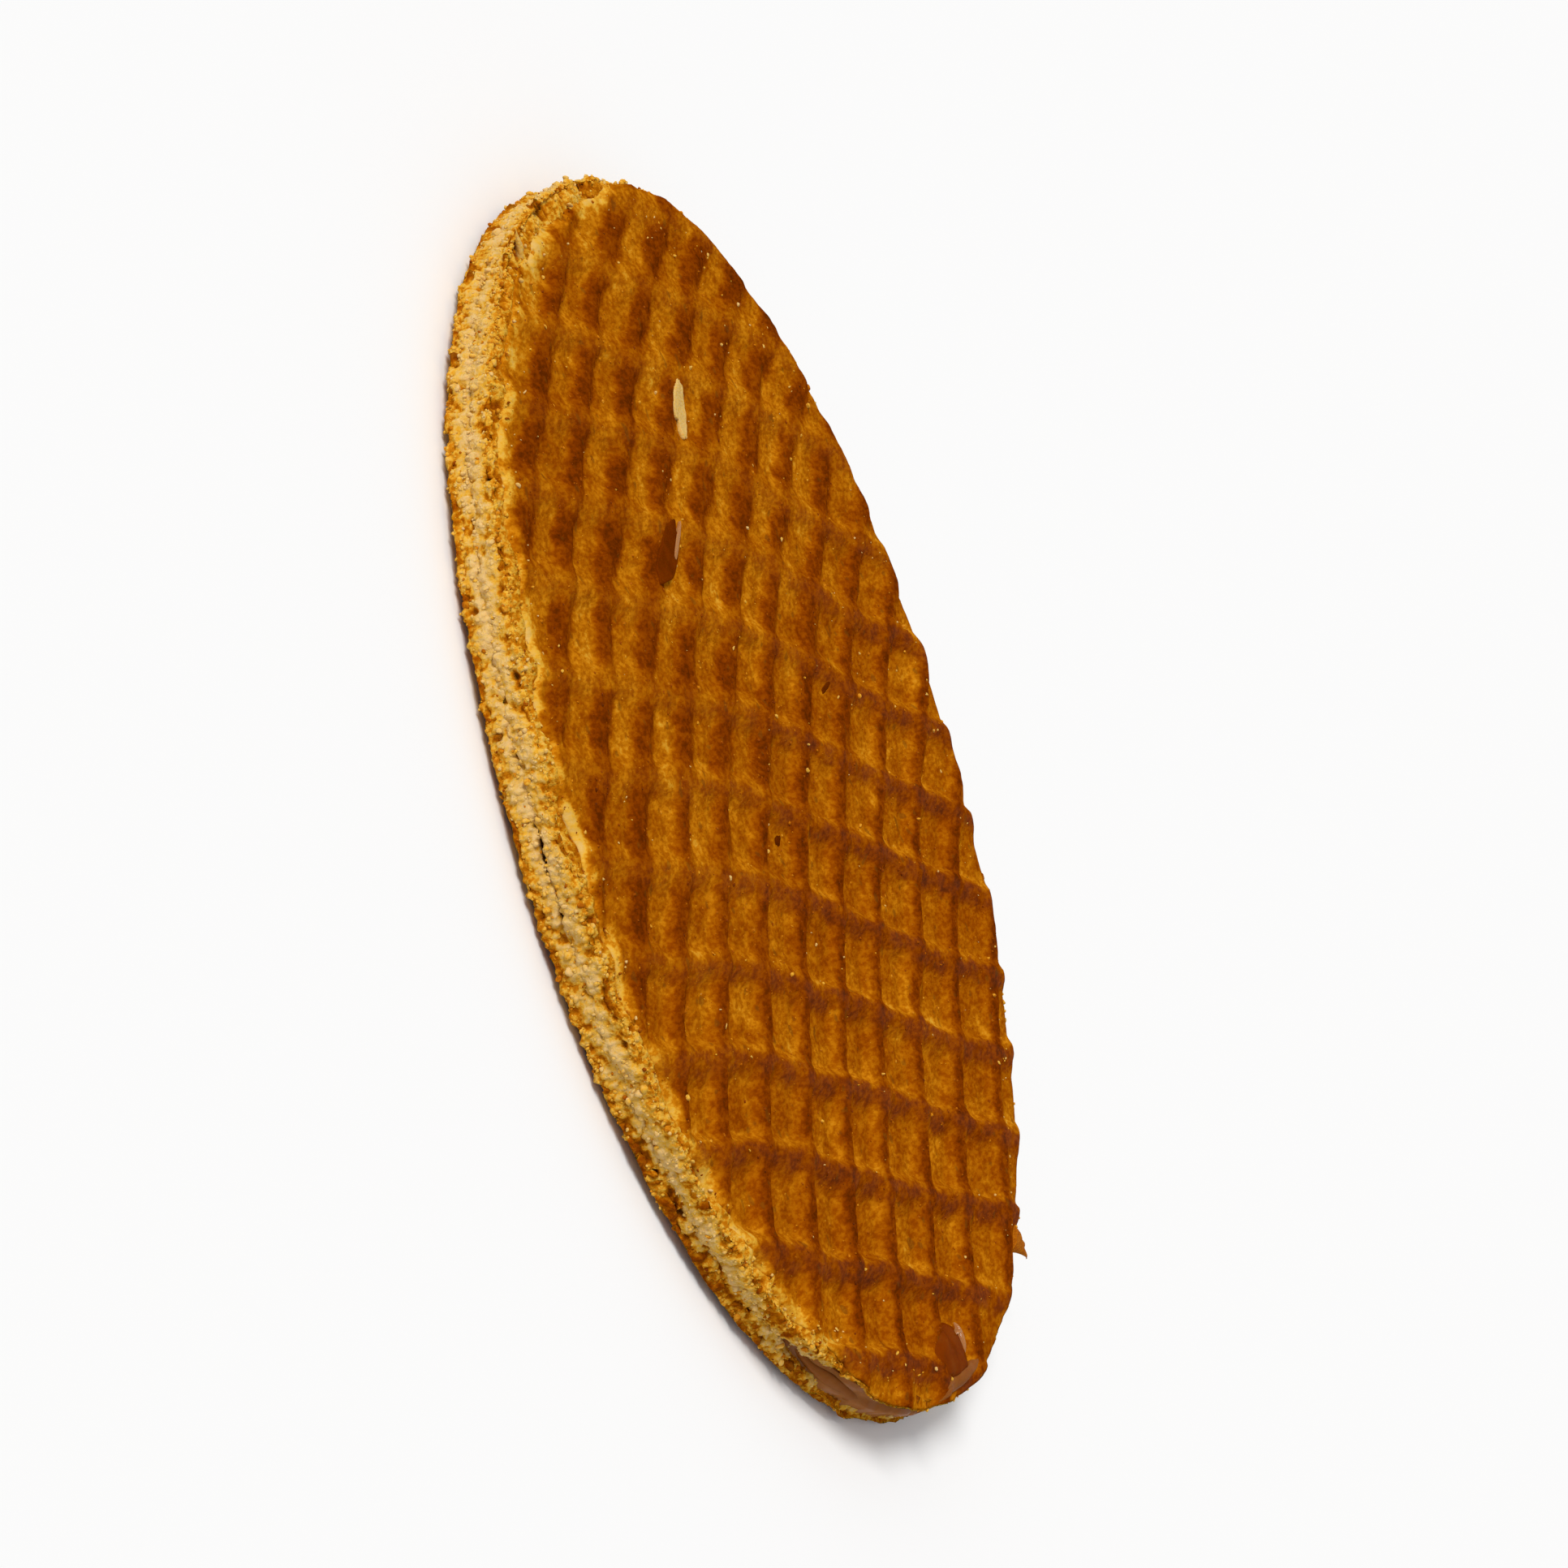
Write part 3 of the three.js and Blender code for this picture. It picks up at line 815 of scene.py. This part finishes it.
# %% Grains on the face
def lie_on_face(name, radius, angle, sink, sizes, stretch, seed, subdivisions, tones):
    """Grains at these places, sunk by this much, and with the tone that tones gives."""
    flat = polar(radius, angle)
    places = np.column_stack([flat, face_height(flat[:, 0], flat[:, 1]) - sink])
    return rough_balls(name, places, sizes, stretch, seed, subdivisions, {"baked": tones(flat)})


PALE_GRAINS, BROWNED_GRAINS = 380, 3000

angle = draw.uniform(0, 2 * math.pi, PALE_GRAINS)
radius = RADIUS * np.sqrt(draw.random(PALE_GRAINS)) * 0.985
near_rim = draw.random(PALE_GRAINS) < 0.45
radius = np.where(near_rim, outline(angle) - 1.2 - 3.2 * draw.random(PALE_GRAINS) ** 1.6, radius)
sizes = 0.05 + 0.13 * draw.random(PALE_GRAINS) ** 3
face_grains = lie_on_face("face_grains", radius, angle, -0.03, sizes, 0.6, 8, 2,
                          lambda flat: draw.uniform(0.0, 0.45, PALE_GRAINS))

angle = draw.uniform(0, 2 * math.pi, BROWNED_GRAINS)
radius = (RADIUS - 1.2) * np.sqrt(draw.random(BROWNED_GRAINS))
sizes = 0.05 + 0.09 * draw.random(BROWNED_GRAINS) ** 2
# Browned grains take the crust's tone, with its painted shade and light on the ridge slopes.
baked_grains = lie_on_face("baked_grains", radius, angle, 0.02, sizes, 0.5, 9, 1, lambda flat: (
    toasting_and_shade(flat[:, 0], flat[:, 1], UPPER_PLATE)[0] + draw.uniform(-0.2, 0.15, BROWNED_GRAINS)))

# %% [markdown]
# ## A pale flake and three scraps at the rim
# A pale flake bridges the ridges, and pointed scraps of crust stand out of the rim. No crumb
# that is only a dented ball looks like these. The flake is a ragged sheet that leans on the
# ridges, and the scraps are flattened, bent cones.

# %% The flake, the spur and two shards at the rim
def flake(name, middle, size, turn, thick, seed, baked_by):
    """A thin scrap that spans the ridges it lies on, with a ragged edge."""
    steps, rings = 90, 14
    ring = polar(1, turn_in(steps), np.zeros(steps))
    ragged = 0.9 + 0.34 * rough(ring, 0.7, seed, 4)
    rows, counts = [np.zeros((1, 2))], [1]
    for part in range(1, rings + 1):
        rows.append(part / rings * (1 + (ragged - 1) * part / rings)[:, None] * ring[:, :2])
        counts.append(steps)
    flat = turned_by(np.concatenate(rows) * np.array(size) / 2, turn) + np.array(middle)
    ground = face_height(flat[:, 0], flat[:, 1])
    spot = np.column_stack([flat, 0 * ground])
    top = 0.5 * ground + 0.5 * ground.max() + thick + 0.06 * rough(spot, 0.7, seed + 3, 2)
    top[-steps:] -= 0.5 * thick
    points, faces = slab(flat, top, ground - 0.2, counts)
    return make_piece(name, points, faces, {"baked": np.full(len(points), baked_by)})


pale_flake = flake("pale_flake", (-30.4, 1.6), (4.9, 2.5), -27, 0.06, 51, 0.12)


def spur(name, root, tip, width, seed, baked_by):
    """A pointed scrap of crust that stands out of the rim."""
    root, tip = np.array(root), np.array(tip)
    steps, parts = 24, 22
    angle = turn_in(steps)
    along = (tip - root) / np.linalg.norm(tip - root)
    side = np.cross(along, (0, 0, 1))
    side /= np.linalg.norm(side)
    up = np.cross(side, along)
    rows = []
    for part in range(parts + 1):
        t = part / parts
        centre = root + (tip - root) * t + up * 0.12 * math.sin(2.6 * t) * width
        girth = width * ((1 - t) ** 1.15 * 0.5 + 0.015)
        rows.append(centre + girth * (np.cos(angle)[:, None] * side * 1.2 + np.sin(angle)[:, None] * up * 0.6))
    points = np.concatenate([root[None], *rows, tip[None]])
    points[1:-1] += 0.07 * rough(points[1:-1], 0.6, seed, 2)[:, None]
    faces = ring_faces([1] + [steps] * (parts + 1) + [1])
    return make_piece(name, points, faces, {"baked": np.full(len(points), baked_by)})


rim_spur = spur("rim_spur", (41.6, 27.3, 4.1), (44.1, 29.9, 4.2), 2.6, 61, 0.6)
first_shard = spur("first_shard", (-43.2, -23.0, 3.9), (-44.9, -24.6, 4.6), 1.3, 62, 0.2)
second_shard = spur("second_shard", (-40.6, -27.6, 3.6), (-42.3, -29.0, 4.1), 1.1, 63, 0.22)

# %% [markdown]
# ## One dough, baked more or less
# Cream crumb, golden border and red-brown crust are the same dough at different stages of
# baking. So one node group turns a single value, how baked a spot is, into its colour, and each
# material only has to say how baked it is. A second group gives the speckle and the fine grain
# that every baked surface shares.

# %% Node helpers
def add(tree, kind, values=None, **settings):
    """A node with these settings; each value is a socket to link or a plain value to set."""
    made = tree.nodes.new(kind)
    for key, value in settings.items():
        setattr(made, key, value)
    for key, value in (values or {}).items():
        if isinstance(value, bpy.types.NodeSocket):
            tree.links.new(value, made.inputs[key])
        else:
            made.inputs[key].default_value = value
    return made


def sums(tree, operation, *values):
    return add(tree, "ShaderNodeMath", dict(enumerate(values)), operation=operation).outputs[0]


def plus(tree, base, value, amount):
    """Base plus amount times the value."""
    return sums(tree, "MULTIPLY_ADD", value, amount, base)


def vary(tree, base, value, amount):
    """Base plus amount times how far the value is from a half."""
    return plus(tree, base, sums(tree, "SUBTRACT", value, 0.5), amount)


def new_group(name, inputs, outputs):
    group = bpy.data.node_groups.new(name, "ShaderNodeTree")
    for title, default in inputs.items():
        socket = group.interface.new_socket(title, in_out="INPUT", socket_type="NodeSocketFloat")
        socket.default_value = default
    for title, kind in outputs.items():
        group.interface.new_socket(title, in_out="OUTPUT", socket_type=kind)
    return group, group.nodes.new("NodeGroupInput"), group.nodes.new("NodeGroupOutput")


def ramp(tree, factor, stops):
    made = add(tree, "ShaderNodeValToRGB", {"Fac": factor})
    band = made.color_ramp
    while len(band.elements) < len(stops):
        band.elements.new(0.5)
    for element, (place, colour) in zip(band.elements, stops):
        element.position = place
        element.color = (*colour, 1)
    return made.outputs["Color"]


def blend(tree, factor, first, second):
    """Mix two colours; each may be a socket or a plain colour."""
    made = add(tree, "ShaderNodeMix", {0: factor, 6: first, 7: second}, data_type="RGBA")
    return made.outputs[2]


def rescale(tree, value, low, high, to_low=0.0, to_high=1.0):
    values = {"Value": value, "From Min": low, "From Max": high, "To Min": to_low, "To Max": to_high}
    return add(tree, "ShaderNodeMapRange", values, interpolation_type="SMOOTHSTEP").outputs["Result"]


# %% Baked dough and its grain
BAKING = (  # how baked, and the colour
    (0.00, (0.64, 0.42, 0.16)),  # raw cream
    (0.16, (0.63, 0.38, 0.09)),
    (0.30, (0.67, 0.355, 0.032)),  # golden
    (0.44, (0.52, 0.18, 0.004)),
    (0.56, (0.37, 0.105, 0.0012)),  # ochre
    (0.70, (0.27, 0.058, 0.0003)),
    (0.84, (0.185, 0.031, 0.0002)),  # red-brown
    (1.00, (0.10, 0.017, 0.0002)),
)
# Dark freckles on the crust and painted shade in the crumb's pores and gaps are mixed towards this colour.
FRECKLE_AND_SHADE_COLOUR = (0.13, 0.045, 0.004, 1)

dough, entry, result = new_group("baked_dough", {"Baked": 0.5, "Darkness": 0.0}, {"Color": "NodeSocketColor"})
toasted = ramp(dough, entry.outputs["Baked"], BAKING)
dough.links.new(blend(dough, entry.outputs["Darkness"], toasted, FRECKLE_AND_SHADE_COLOUR), result.inputs["Color"])

grain, entry, result = new_group("fine_grain", {"Grains per metre": 3000.0},
                                 {"Speckle": "NodeSocketFloat", "Height": "NodeSocketFloat"})
density = entry.outputs["Grains per metre"]
place = add(grain, "ShaderNodeTexCoord").outputs["Object"]
place = add(grain, "ShaderNodeMapping", {"Vector": place, "Scale": (1, 0.5, 1)}).outputs["Vector"]
fine = add(grain, "ShaderNodeTexNoise", {"Vector": place, "Scale": density,
                                         "Detail": 3.0, "Roughness": 0.62}).outputs["Fac"]
cells = add(grain, "ShaderNodeTexVoronoi", {"Vector": place, "Scale": density}).outputs["Distance"]
grain.links.new(rescale(grain, fine, 0.36, 0.66), result.inputs["Speckle"])
grain.links.new(sums(grain, "SUBTRACT", fine, sums(grain, "MULTIPLY", cells, 0.55)), result.inputs["Height"])
print("node groups:", [group.name for group in bpy.data.node_groups])


def use(tree, group, values):
    """Place a node group in a material, with its own values."""
    return add(tree, "ShaderNodeGroup", values, node_tree=group).outputs


def mask(tree, name):
    """A mask that was stored on the mesh's points."""
    return add(tree, "ShaderNodeAttribute", attribute_name=name, attribute_type="GEOMETRY").outputs["Fac"]


def new_material(name, **plain):
    """A material and its Principled shader, with the values that are the same all over."""
    made = bpy.data.materials.new(name)
    made.use_nodes = True
    shader = made.node_tree.nodes["Principled BSDF"]
    for key, value in plain.items():
        shader.inputs[key.replace("_", " ")].default_value = value
    return made, made.node_tree, shader


def wire(tree, shader, **sockets):
    """Link each socket to the shader's input of that name."""
    for name, socket in sockets.items():
        tree.links.new(socket, shader.inputs[name.replace("_", " ")])


def texture(tree, size_mm, detail=2.0, seed=0.0, stretch=1.0):
    """Smooth noise of a size in mm, from about 0 to 1, drawn out along y by stretch."""
    place = add(tree, "ShaderNodeTexCoord").outputs["Object"]
    moved = add(tree, "ShaderNodeMapping", {"Vector": place, "Location": (seed, -seed, 0.3 * seed),
                                            "Scale": (1, 1 / stretch, 1)}).outputs["Vector"]
    made = add(tree, "ShaderNodeTexNoise", {"Vector": moved, "Scale": 1000 / size_mm, "Detail": detail})
    return made.outputs["Fac"]


def bump(tree, height, depth_mm, strength=1.0, over=None):
    made = add(tree, "ShaderNodeBump", {"Height": height, "Distance": depth_mm * MM, "Strength": strength})
    if over is not None:
        tree.links.new(over, made.inputs["Normal"])
    return made.outputs["Normal"]


# %% [markdown]
# ## Crust
# The raised lines and pads have browned most, and the floors between them stay light ochre. On one
# family of ridges the slope away from the sun is painted browner as shade, and a thin strip on the
# sunward side paler as light. The skin is dry, apart from a faint gloss of sugar and butter beside
# one family of ridges. Mottling about a millimetre across breaks up the pattern, and the speckle
# gives the sandy look of a baked face. Towards the broken rim the brown fades to gold.

# %% Crust material
crust, tree, shader = new_material("baked_crust", Specular_IOR_Level=0.0, Coat_IOR=1.25, Coat_Roughness=0.32)
speckle = use(tree, grain, {"Grains per metre": 2600.0})
mottle = texture(tree, 1.3, 2.2, 0.11, 2.0)
patches = texture(tree, 14.0, 2.0, 0.4)
# The toast mask brings the painted shade and painted light of the ridge slopes with it.
baked = vary(tree, mask(tree, "toast_and_shade"), mottle, 0.42)
baked = vary(tree, baked, patches, 0.2)
baked = vary(tree, baked, speckle["Speckle"], 0.16)
baked = plus(tree, baked, mask(tree, "border"), -0.27)
baked = plus(tree, baked, mask(tree, "glow"), -0.06)
freckle = rescale(tree, texture(tree, 1.1, 0.0, 0.7), 0.74, 0.80)
brown = use(tree, dough, {"Baked": baked, "Darkness": sums(tree, "MULTIPLY", freckle, 0.45)})["Color"]
gloss = sums(tree, "MULTIPLY", mask(tree, "glaze"), rescale(tree, mottle, 0.35, 0.6, 0.0, 0.09))
waves = bump(tree, mottle, 0.16, 0.5)
wire(tree, shader, Base_Color=brown, Coat_Weight=gloss, Normal=bump(tree, speckle["Height"], 0.10, 0.8, waves))

# %% [markdown]
# ## Crumb
# Inside the skin the dough is pale and lets light through, so its border glows golden next to
# the crust. Pores, hollows and the gaps between grains are painted darker as shade, and so is most of
# the lower half a little. The same baked value drives it: almost raw in the middle of the wall, and
# golden within a millimetre of the crust.

# %% Crumb material
crumb, tree, shader = new_material("cut_crumb", Subsurface_Weight=0.2, Subsurface_Radius=(1.0, 0.55, 0.2),
                                   Subsurface_Scale=0.0004, Roughness=0.9, Specular_IOR_Level=0.0)
relief = mask(tree, "relief")
speckle = use(tree, grain, {"Grains per metre": 2600.0})
patches = texture(tree, 3.0, 3.0, 0.9)
baked = rescale(tree, mask(tree, "below_crust"), 0.1, 1.6, 0.32, 0.02)
baked = vary(tree, baked, patches, 0.35)
baked = plus(tree, baked, sums(tree, "SUBTRACT", 0.5, speckle["Speckle"]), 0.24)
# Painted shade: hollows of the relief are made browner.
baked = plus(tree, baked, rescale(tree, relief, -0.4, 0.03, 1.0, 0.0), 0.28)
# The tone mask is partly random tone and partly painted shade between grains and on the lower half.
tone_and_shade = mask(tree, "tone_and_shade")
baked = plus(tree, baked, tone_and_shade, 0.55)
# Painted shade: pores darken towards the shade colour; the syrup soak darkening is a real stain.
pore_shade_and_soak = rescale(tree, relief, -0.7, -0.25, 0.6, 0.0)
pore_shade_and_soak = plus(tree, pore_shade_and_soak, mask(tree, "syrup_soak"), 0.15)
pore_shade_and_soak = plus(tree, pore_shade_and_soak, tone_and_shade, 0.5)
wire(tree, shader, Base_Color=use(tree, dough, {"Baked": baked, "Darkness": pore_shade_and_soak})["Color"],
     Normal=bump(tree, speckle["Height"], 0.22, 0.9))

# %% [markdown]
# ## Loose crumb
# All loose pieces are the same dough again, with how baked each one is stored on its points when it was
# placed, so a whole heap of crumbs needs only one material.

# %% Loose crumb material
loose, tree, shader = new_material("loose_crumb", Subsurface_Weight=0.25, Subsurface_Radius=(1.0, 0.6, 0.25),
                                   Subsurface_Scale=0.0003, Roughness=0.8, Specular_IOR_Level=0.05)
speckle = use(tree, grain, {"Grains per metre": 5200.0})
baked = vary(tree, mask(tree, "baked"), speckle["Speckle"], 0.14)
wire(tree, shader, Base_Color=use(tree, dough, {"Baked": baked, "Darkness": 0.0})["Color"],
     Normal=bump(tree, speckle["Height"], 0.06, 0.8))

# %% [markdown]
# ## Caramel syrup
# Clear drops are deep amber. Where crumbs and fat are stirred in, the syrup turns into a cloudy
# toffee brown. One value, its cloudiness, moves between the two. It is sticky and smooth, so the
# highlights are small and sharp, broken only by a slow unevenness.

# %% Syrup material
CLOUDING = (  # how cloudy, and the colour
    (0.0, (0.075, 0.012, 0.0002)),  # deep amber
    (0.2, (0.16, 0.026, 0.0003)),
    (0.5, (0.22, 0.065, 0.008)),
    (1.0, (0.36, 0.15, 0.05)),  # toffee
)

caramel, tree, shader = new_material("caramel_syrup", Subsurface_Weight=0.2, Subsurface_Scale=0.0012,
                                     Subsurface_Radius=(1.0, 0.35, 0.08), Roughness=0.3,
                                     Specular_IOR_Level=0.0, Coat_IOR=1.4, Coat_Roughness=0.08)
swirl = texture(tree, 1.6, 2.0, 0.5)
cloudy = vary(tree, mask(tree, "cloud"), swirl, 0.3)
wire(tree, shader, Base_Color=ramp(tree, cloudy, CLOUDING), Coat_Weight=mask(tree, "shine"),
     Normal=bump(tree, swirl, 0.25, 0.35))

# %% [markdown]
# ## What is made of what
# One dough and one syrup make many pieces, so four materials are enough for all of them. They
# are put on in a single loop, which reads like a list of ingredients.

# %% Materials on their pieces
for material, pieces in ((crust, (upper_crust, lower_crust)),
                         (crumb, (upper_crumb, lower_crumb)),
                         (loose, (edge_crumbs, edge_sand, face_grains, baked_grains, pale_flake,
                                  rim_spur, first_shard, second_shard)),
                         (caramel, (layer, *drops, run))):
    for piece in pieces:
        piece.data.materials.append(material)
    print(material.name, "on", [piece.name for piece in pieces])

# %% [markdown]
# ## The floor
# A plain pale floor carries the soft shadow. It is large enough that the camera never sees past
# its edge, so it stands in for the seamless white of a studio.

# %% Floor
FLOOR_REACH = 4  # metres

floor_mesh = bpy.data.meshes.new("floor")
corners = [(FLOOR_REACH * x, FLOOR_REACH * y, 0) for x, y in ((-1, -1), (1, -1), (1, 1), (-1, 1))]
floor_mesh.from_pydata(corners, [], [(0, 1, 2, 3)])
floor = bpy.data.objects.new("floor", floor_mesh)
scene.collection.objects.link(floor)
paint, tree, shader = new_material("pale_floor", Base_Color=(0.93, 0.93, 0.93, 1), Roughness=0.9,
                                   Specular_IOR_Level=0.0)
floor.data.materials.append(paint)
